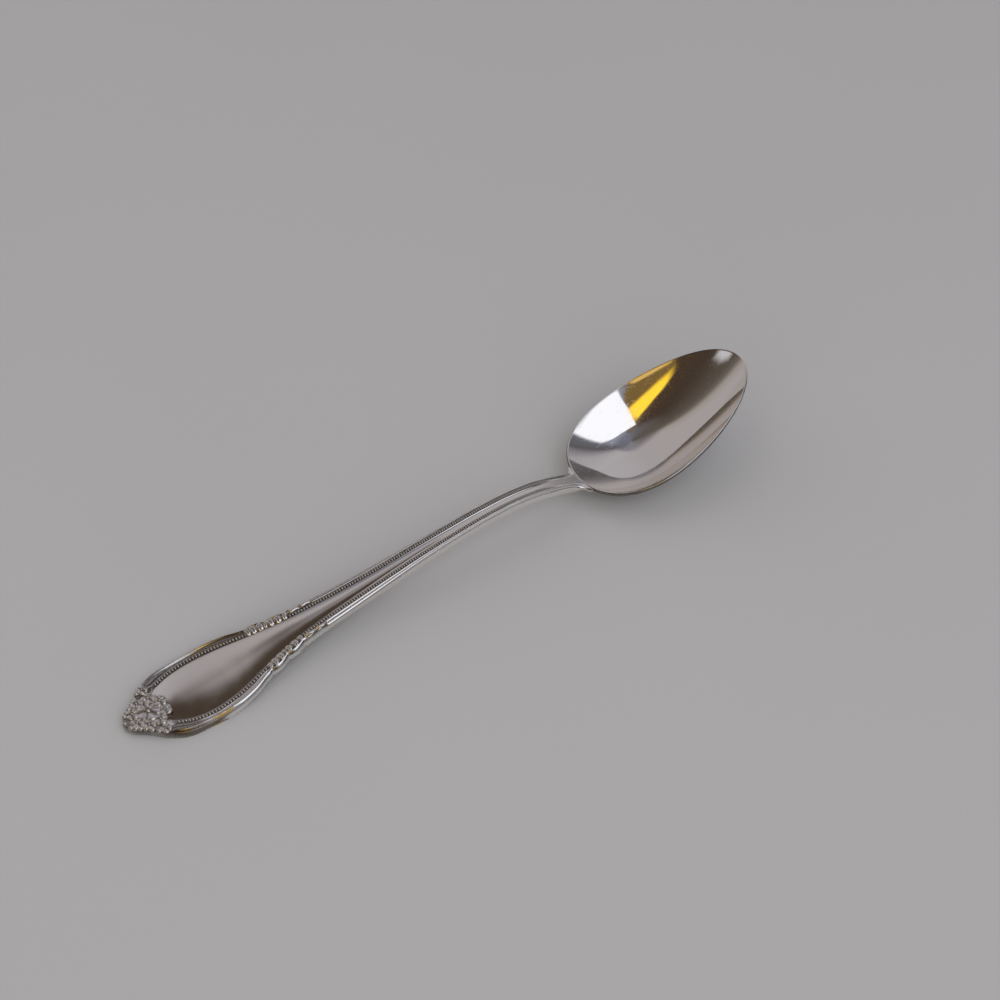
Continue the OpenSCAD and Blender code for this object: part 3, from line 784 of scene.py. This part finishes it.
def silver_plate(name):
    """Silver electroplate over nickel silver, buffed on a mop: a near mirror under years of hairlines."""
    smooth, rough, scratch, tarnish_and_shade = POLISH[name]
    look = bpy.context.scene.teaspoon_look
    finish, tree = new_finish(name)
    spot = {"Vector": node(tree, "TexCoord").outputs["Object"]}
    marks = None
    # Hairlines are about 5 thousandths of a millimetre wide; these are drawn 0.15 mm wide so that they show
    for turn, along, across in ((0.5, 0.3, 6.0), (1.75, 0.22, 7.0), (2.7, 0.35, 6.5)):
        scale = (along / MM, across / MM, across / MM)
        lay = node(tree, "Mapping", {"Rotation": (0, 0, turn), "Scale": scale}, spot)
        grain = node(tree, "TexNoise", {"Scale": 1, "Detail": 1, "Roughness": 0.4}, {"Vector": lay})
        line = node(tree, "MapRange", {"From Min": 0.68, "From Max": 0.8}, {"Value": grain})
        marks = node(tree, "Math", {"operation": "MAXIMUM"}, {0: marks, 1: line}) if marks else line
    # Scuffs come in patches a few millimetres across
    cloud = node(tree, "TexNoise", {"Scale": 0.35 / MM, "Detail": 3.0}, spot)
    patch = node(tree, "MapRange",
                 {"From Min": 0.35, "From Max": 0.7, "To Min": smooth, "To Max": rough}, {"Value": cloud})
    worn = node(tree, "Math", {"operation": "MULTIPLY_ADD", 1: 0.4 * scratch}, {0: marks, 2: patch})
    bump = node(tree, "Bump", {"Strength": scratch, "Distance": look.scratch_h}, {"Height": marks})
    # The hollow values paint tarnish in real hollows and painted shade and dark reflections on grooves, edges
    # and the rim, in specks under half a millimetre; both take the gloss off
    hollow = node(tree, "Attribute", {"attribute_name": "hollow"})
    speckle = node(tree, "TexNoise", {"Scale": 2.5 / MM, "Detail": 2.0}, spot)
    much = node(tree, "MapRange",
                {"From Min": 0.25, "From Max": 0.8, "To Min": 0.6 * tarnish_and_shade, "To Max": tarnish_and_shade},
                {"Value": speckle})
    dark = node(tree, "Math", {"operation": "MULTIPLY", "use_clamp": True},
                {0: hollow.outputs["Fac"], 1: much})
    silver = linear(look.silver)
    tint = node(tree, "MixRGB", {"Color1": silver, "Color2": linear(look.tarnish_and_shade)}, {"Fac": dark})
    dull = node(tree, "Math", {"operation": "MULTIPLY_ADD", 1: 0.3}, {0: dark, 2: worn})
    shader = node(tree, "BsdfPrincipled", {"Metallic": 1.0, "Base Color": silver},
                  {"Base Color": tint, "Roughness": dull, "Normal": bump})
    node(tree, "OutputMaterial", None, {"Surface": shader})
    return finish


def table_laminate():
    """Sealed pale laminate, pressed against a satin plate: even grey with a faint soft reflection."""
    finish, tree = new_finish("pressed_satin_laminate")
    spot = {"Vector": node(tree, "TexCoord").outputs["Object"]}
    drift = node(tree, "TexNoise", {"Scale": 6.0, "Detail": 2.0}, spot)
    base = Vector(linear(bpy.context.scene.teaspoon_look.table)[:3])
    shade = node(tree, "MixRGB", {"Color1": (*(base * 0.97), 1), "Color2": (*(base * 1.03), 1)},
                 {"Fac": drift})
    grit = node(tree, "TexNoise", {"Scale": 1.2 / MM, "Detail": 3.0}, spot)
    bump = node(tree, "Bump", {"Strength": 0.25, "Distance": 0.01 * MM}, {"Height": grit})
    shader = node(tree, "BsdfPrincipled", {"Roughness": 0.4, "IOR": 1.5, "Specular IOR Level": 0.2},
                  {"Base Color": shade, "Normal": bump})
    node(tree, "OutputMaterial", None, {"Surface": shader})
    return finish


def glow(name, colour, strength):
    """Even glow of a studio card, gone at its edge."""
    finish, tree = new_finish(name)
    lit = node(tree, "Attribute", {"attribute_name": "lit"}).outputs["Fac"]
    even = node(tree, "MapRange", {"interpolation_type": "SMOOTHSTEP"}, {"Value": lit})
    clear = node(tree, "BsdfTransparent")
    shining = node(tree, "Emission", {"Color": linear(colour), "Strength": strength})
    shader = node(tree, "MixShader", None, {0: even, 1: clear, 2: shining})
    node(tree, "OutputMaterial", None, {"Surface": shader})
    return finish


# Cards that the polished metal shows: colour, level and share that fades at the edge, then the corners:
# degrees round the bowl from straight ahead, degrees up, millimetres away and, where it differs, their fade
CARDS = {
    "dark_card": ("#40352B", 1.0, 0.07, [
        (-103.7, 17.8, 152), (-107.2, 17.5, 122), (-108.2, 17.4, 115), (-108.9, 17.3, 110),
        (-109.5, 17.3, 104), (-109.8, 17.2, 100), (-109.4, 17.3, 94), (-109.1, 17.3, 88), (-109.2, 17.3, 79),
        (-109.6, 17.3, 68), (-109.9, 17.2, 55), (-107, 17.5, 54), (-100.2, 18, 65), (-93.1, 18.2, 77),
        (-85.9, 18.2, 88), (-76.4, 17.8, 98), (-72.7, 17.5, 113), (-77.2, 17.8, 152)]),
    "window_card": ("#F4F6FF", 1.2, 0.03, [
        (86, 21, 1300, 0.16), (90, 54, 2170, 0.22), (110, 64, 1970, 0.12), (134, 67, 1900, 0.06),
        (155, 66, 1920), (166, 68, 1890), (158, 57, 1610, 0.015), (151, 43, 1180, 0.015),
        (144, 28, 950, 0.02), (142, 20, 890, 0.05)]),
    "gold_card": ("#FFD23E", 1.3, 0.3, [(*way, 1500) for way in (
        (151, 45), (152.5, 51), (157, 57), (164, 62), (169, 57), (174, 51), (179, 46), (181, 41), (178, 37),
        (170, 38.5), (160, 42))]),
    "bronze_card": ("#7A6238", 1.0, 0.06, [(*way, 1700) for way in (
        (147.5, 31), (149, 37), (152, 45), (160, 44), (170, 41), (178, 37), (178, 30), (165, 28),
        (150, 27))]),
    "rim_gold_card": ("#E8C070", 0.95, 0.03, [(*way, 1300) for way in (
        (149.5, 25), (149.5, 26.5), (153, 29), (160, 30.3), (167, 31.3), (174, 32), (178, 31), (178, 25))]),
    "lamp_card": ("#C6C4CA", 1.0, 0.45, [(*way, 900) for way in (
        (-131, 34), (-118, 31), (-103, 31), (-101, 35), (-112, 39), (-128, 40))]),
    "near_gold_card": ("#E0B868", 0.55, 0.2, [
        (-141.6, -1.7, 115), (-142.3, -1.8, 110), (-142.3, 17.3, 115), (-141.6, 16.5, 120)]),
}

# Middle of the bowl, in millimetres to the right, away from the camera and up, from under the spoon
BOWL_SPOT = (41, 28, 10)

# Colours of the room by degrees round: the walls, what is overhead, and what lies below the walls
WALLS = [(-180, "#493A2E"), (-150, "#443830"), (-130, "#4A4039"), (-110, "#534A42"), (-95, "#5A514B"),
         (-84, "#6B635E"), (-74, "#A29996"), (-62, "#AAA4A6"), (-25, "#A8A3A7"), (25, "#B0ADB3"),
         (45, "#A6A3A7"), (57, "#85828A"), (66, "#5E5B5E"), (80, "#666870"), (95, "#8E92A2"),
         (144, "#8E92A2"), (152, "#6B5A3C"), (162, "#75603A"), (172, "#5A4A3A"), (180, "#493A2E")]
OVERHEAD = [(-180, "#67646A"), (-130, "#5E5750"), (-90, "#5E5954"), (-55, "#77757A"), (-25, "#85828A"),
            (20, "#80808A"), (60, "#6C6D76"), (110, "#70737F"), (150, "#737486"), (168, "#6C6B74"),
            (180, "#67646A")]
LOW_DOWN = [(-180, "#2E2824"), (-120, "#4A4440"), (-84, "#6B635E"), (-70, "#A39C99"), (-40, "#A39E9E"),
            (40, "#9C9894"), (60, "#57504C"), (76, "#302B28"), (180, "#2E2824")]

# The photo's view, from a camera fitted to the rim and the rows of beads: its sides, place in metres and lens
RIGHT = Vector((0.82125, -0.57057, 0))
AWAY = Vector((0.57057, 0.82125, 0))
UP = Vector((0.41661, 0.59967, 0.68325))
EYE = Vector((-0.10808, -0.17197, 0.23483))
LENS = 52.2


def toward(turn, lift):
    """Direction at degrees round from straight ahead and degrees up."""
    a, e = math.radians(turn), math.radians(lift)
    flat = RIGHT * (math.sin(a) * math.cos(e)) + AWAY * (math.cos(a) * math.cos(e))
    return flat + Vector((0, 0, math.sin(e)))


def place(right, away, up):
    """Point of the studio, in millimetres to the right, away from the camera and up, from under the spoon."""
    return (RIGHT * right + AWAY * away) * MM + Vector((0, 0, up * MM))


def card_light(name, where, width, height, colour, level):
    """Rectangular soft light of that brightness, in scene units, aimed at the spoon, not mirrored in it."""
    light = bpy.data.lights.new(name, "AREA")
    light.shape = "RECTANGLE"
    light.size, light.size_y = width, height
    light.color = linear(colour)[:3]
    light.energy = level * math.pi * width * height
    lit = in_scene(name, light)
    lit.location = where
    lit.rotation_euler = (-where).to_track_quat("-Z", "Y").to_euler()
    lit.visible_glossy = False


def reflection_card(name, colour, level, soft, corners):
    """Glowing card that fades out at its edge and shows in the metal's reflections and nowhere else."""
    bowl = place(*BOWL_SPOT)
    points = np.array([bowl + toward(turn, lift) * far * MM for turn, lift, far, *_ in corners])
    fades = np.array([own[0] if own else soft for _, _, _, *own in corners])[:, None]
    middle = points.mean(0)
    n = len(points)
    rings = np.concatenate([middle + (points - middle) * (1 + fade) for fade in (fades, -fades)])
    faces = tube_faces(2, n).tolist() + [list(range(n, 2 * n))]
    made = in_scene(name, valued_mesh(name, rings, faces, "lit", np.repeat([0.0, 1.0], n)))
    made.data.materials.append(glow(name, colour, level))
    for ray in ("camera", "diffuse", "transmission", "volume_scatter", "shadow"):
        setattr(made, "visible_" + ray, False)


def ramp(tree, source, stops):
    """Colour ramp by degrees round the room, all the way from straight behind the camera."""
    made = node(tree, "ValToRGB", None, {"Fac": source})
    while len(made.color_ramp.elements) < len(stops):
        made.color_ramp.elements.new(0.5)
    for spot, (degrees, colour) in zip(made.color_ramp.elements, stops):
        spot.position = (degrees + 180) / 360
        spot.color = linear(colour)
    return made


def room_world():
    """The room that polished metal shows: pale walls ahead, brown behind left, grey-blue overhead right."""
    world = bpy.data.worlds.new("studio_room")
    world.use_nodes = True
    tree = world.node_tree
    tree.nodes.clear()
    way = node(tree, "TexCoord").outputs["Generated"]
    right, away = (node(tree, "VectorMath", {"operation": "DOT_PRODUCT", 1: side}, {0: way}).outputs["Value"]
                   for side in (RIGHT, AWAY))
    turn = node(tree, "Math", {"operation": "ARCTAN2"}, {0: right, 1: away})
    around = node(tree, "Math", {"operation": "MULTIPLY_ADD", 1: 0.5 / math.pi, 2: 0.5}, {0: turn})
    below, walls, above = (ramp(tree, around, stops) for stops in (LOW_DOWN, WALLS, OVERHEAD))
    rise = node(tree, "SeparateXYZ", None, {"Vector": way}).outputs["Z"]
    # Where the walls begin and end, as the upward part of the direction
    foot, top = (node(tree, "MapRange", {"interpolation_type": "SMOOTHSTEP", "From Min": low, "From Max": high},
                      {"Value": rise}) for low, high in ((0.14, 0.26), (0.92, 0.985)))
    lower = node(tree, "MixRGB", None, {"Fac": foot, "Color1": below, "Color2": walls})
    whole = node(tree, "MixRGB", None, {"Fac": top, "Color1": lower, "Color2": above})
    room = node(tree, "Background", {"Strength": 1.0}, {"Color": whole})
    # The camera itself looks at a plain pale backdrop
    plain = node(tree, "Background", {"Color": linear("#B4B2B2"), "Strength": 1.0})
    seen = node(tree, "LightPath").outputs["Is Camera Ray"]
    both = node(tree, "MixShader", None, {0: seen, 1: room, 2: plain})
    node(tree, "OutputWorld", None, {"Surface": both})
    return world


class TEASPOON_OT_bowl(bpy.types.Operator):
    """Build the egg-shaped bowl with its rounded rim"""
    bl_idname = "teaspoon.bowl"
    bl_label = "Bowl"

    def execute(self, context):
        finish = silver_plate("silver_plate_mop_polished")
        piece = add_piece("bowl_shell", bowl_shell(), finish)
        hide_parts("bowl")
        return {"FINISHED"}


class TEASPOON_OT_handle(bpy.types.Operator):
    """Build the struck handle: panel, stem and the neck that runs under the bowl"""
    bl_idname = "teaspoon.handle"
    bl_label = "Handle"

    def execute(self, context):
        finish = silver_plate("silver_plate_struck_and_scuffed")
        for name, start, end, slot in (("panel", TIP_STEPS[0], SPRAY_END, "plate_field"),
                                       ("stem", SPRAY_END, STEM_END, "plate_field"),
                                       ("neck", STEM_END, STEM_END + TONGUE_END * NECK_L, "plate_bright")):
            piece = add_piece(name + "_blank", blank_length(start, end, nose=name == "panel"), finish)
            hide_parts(name)
        return {"FINISHED"}


class TEASPOON_OT_mouldings(bpy.types.Operator):
    """Build the ridge round the panel and the reeds along the stem"""
    bl_idname = "teaspoon.mouldings"
    bl_label = "Ridge and reeds"

    def execute(self, context):
        finish = silver_plate("silver_plate_moulding_rubbed_bright")
        for side, word in ((1, "left"), (-1, "right")):
            for name, made in (("border", ridge(side)), ("reeds", reeds(side))):
                piece = add_piece(word + "_" + name + "_moulding", made, finish)
                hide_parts(word + "_" + name)
        return {"FINISHED"}


class TEASPOON_OT_beads(bpy.types.Operator):
    """Build the two rows of beads"""
    bl_idname = "teaspoon.beads"
    bl_label = "Bead rows"

    def execute(self, context):
        finish = silver_plate("silver_plate_beads_dark_between")
        for side, name in ((1, "left_beads"), (-1, "right_beads")):
            piece = add_piece(name + "_round", bead_row(side), finish)
            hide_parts(name)
        return {"FINISHED"}


class TEASPOON_OT_sprays(bpy.types.Operator):
    """Build the sprays of blossoms and the leaf scrolls on both edges"""
    bl_idname = "teaspoon.sprays"
    bl_label = "Sprays and scrolls"

    def execute(self, context):
        finish = silver_plate("silver_plate_relief_oxidised_hollows")
        for side, word in ((1, "left"), (-1, "right")):
            piece = add_piece(word + "_spray_blossoms", spray(side), finish)
            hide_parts(word + "_spray")
            piece = add_piece(word + "_scroll_leaves", scroll(side), finish)
            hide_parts(word + "_scroll")
        return {"FINISHED"}


class TEASPOON_OT_tip_cluster(bpy.types.Operator):
    """Build the rosette, the blossoms round it and the berries on the edge of the tip"""
    bl_idname = "teaspoon.tip_cluster"
    bl_label = "Cluster on the tip"

    def execute(self, context):
        finish = silver_plate("silver_plate_cluster_oxidised_hollows")
        rosette = seated(flower(1.2 * ROSETTE_W, ROSETTE_H, 5, 0.3, 0.14), ROSETTE_X, 0)
        piece = add_piece("tip_rosette_petals", rosette, finish)
        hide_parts("tip_rosette")
        blossoms = []
        for i in range(8):
            a = math.pi * (i + 0.5) / 4
            blossoms.append(seated(flower(1.42 * BLOSSOM_W, BLOSSOM_H, 4, 0.7 * i, 0.12),
                                   ROSETTE_X + RING_R * math.cos(a), RING_R * math.sin(a), 1.3 * i))
        for side in (-1, 1):
            blossoms.append(seated(flower(1.2 * BLOSSOM_W, BLOSSOM_H, 4, 0.4, 0.12), 0.76 * TIP_END,
                                   side * 0.54 * PANEL_W / 2))
        piece = add_piece("tip_blossom_ring", joined(blossoms), finish)
        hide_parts("tip_blossoms")
        berries = [seated(berry(BERRY_W / 2), 0.6 * BERRY_W, 0)]
        for share in (0.12, 0.2, 0.29, 0.39, 0.5, 0.61):
            out = border_mid(share * TIP_END)[2] - 0.1 * BERRY_W
            berries += [seated(berry(0.62 * BERRY_W), share * TIP_END, side * out) for side in (-1, 1)]
        piece = add_piece("tip_berry_row", joined(berries), finish)
        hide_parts("tip_berries")
        return {"FINISHED"}


class TEASPOON_OT_stage(bpy.types.Operator):
    """Set the table, the lights, the reflection cards and the camera"""
    bl_idname = "teaspoon.stage"
    bl_label = "Stage"

    def execute(self, context):
        scene = context.scene
        look = scene.teaspoon_look
        floor = bpy.data.meshes.new("table_top")
        reach = 3.0
        corners = [(-reach, -reach, 0), (reach, -reach, 0), (reach, reach, 0), (-reach, reach, 0)]
        floor.from_pydata(corners, [], [(0, 1, 2, 3)])
        table = in_scene("table_top", floor)
        # A hair below the spoon, so that the two don't share a plane
        table.location.z = -0.02 * MM
        table.data.materials.append(table_laminate())

        for name, card in CARDS.items():
            reflection_card(name, *card)
        for name, where, height, colour, level in (
                ("softbox", (900, -450, 1100), 2.0, "#FAFAFF", look.softbox),
                ("fill", (-800, 500, 1000), 2.0, "#FFFBF6", look.fill),
                ("front_fill", (-100, -1100, 800), 1.6, "#FFFDFA", look.front)):
            card_light(name, place(*where), 2.4, height, colour, level)
        scene.world = room_world()

        camera = bpy.data.cameras.new("camera")
        camera.lens = LENS
        camera.sensor_width = 36
        camera.clip_start = 0.01
        eye = in_scene("camera", camera)
        stand = Matrix((RIGHT, UP, RIGHT.cross(UP))).transposed().to_4x4()
        stand.translation = EYE
        eye.matrix_world = stand
        scene.camera = eye
        scene.view_settings.view_transform = "Standard"
        return {"FINISHED"}


class TEASPOON_PT_panel(bpy.types.Panel):
    """Sizes, colours and steps of the teaspoon"""
    bl_idname = "TEASPOON_PT_panel"
    bl_label = "Teaspoon"
    bl_space_type = "VIEW_3D"
    bl_region_type = "UI"
    bl_category = "Teaspoon"

    def draw(self, context):
        layout = self.layout
        for group in (context.scene.teaspoon_sizes, context.scene.teaspoon_look):
            box = layout.box()
            for name in listed(group):
                box.prop(group, name)
        for step in STEPS:
            layout.operator(step.bl_idname)


STEPS = (TEASPOON_OT_bowl, TEASPOON_OT_handle, TEASPOON_OT_mouldings, TEASPOON_OT_beads, TEASPOON_OT_sprays,
         TEASPOON_OT_tip_cluster, TEASPOON_OT_stage)
CLASSES = (SpoonSizes, SpoonLook, *STEPS, TEASPOON_PT_panel)


def register():
    for cls in CLASSES:
        bpy.utils.register_class(cls)
    bpy.types.Scene.teaspoon_sizes = bpy.props.PointerProperty(type=SpoonSizes)
    bpy.types.Scene.teaspoon_look = bpy.props.PointerProperty(type=SpoonLook)


def unregister():
    del bpy.types.Scene.teaspoon_look
    del bpy.types.Scene.teaspoon_sizes
    for cls in reversed(CLASSES):
        bpy.utils.unregister_class(cls)


def main():
    register()
    bpy.ops.teaspoon.bowl()
    bpy.ops.teaspoon.handle()
    bpy.ops.teaspoon.mouldings()
    bpy.ops.teaspoon.beads()
    bpy.ops.teaspoon.sprays()
    bpy.ops.teaspoon.tip_cluster()
    bpy.ops.teaspoon.stage()


if __name__ == "__main__":
    main()
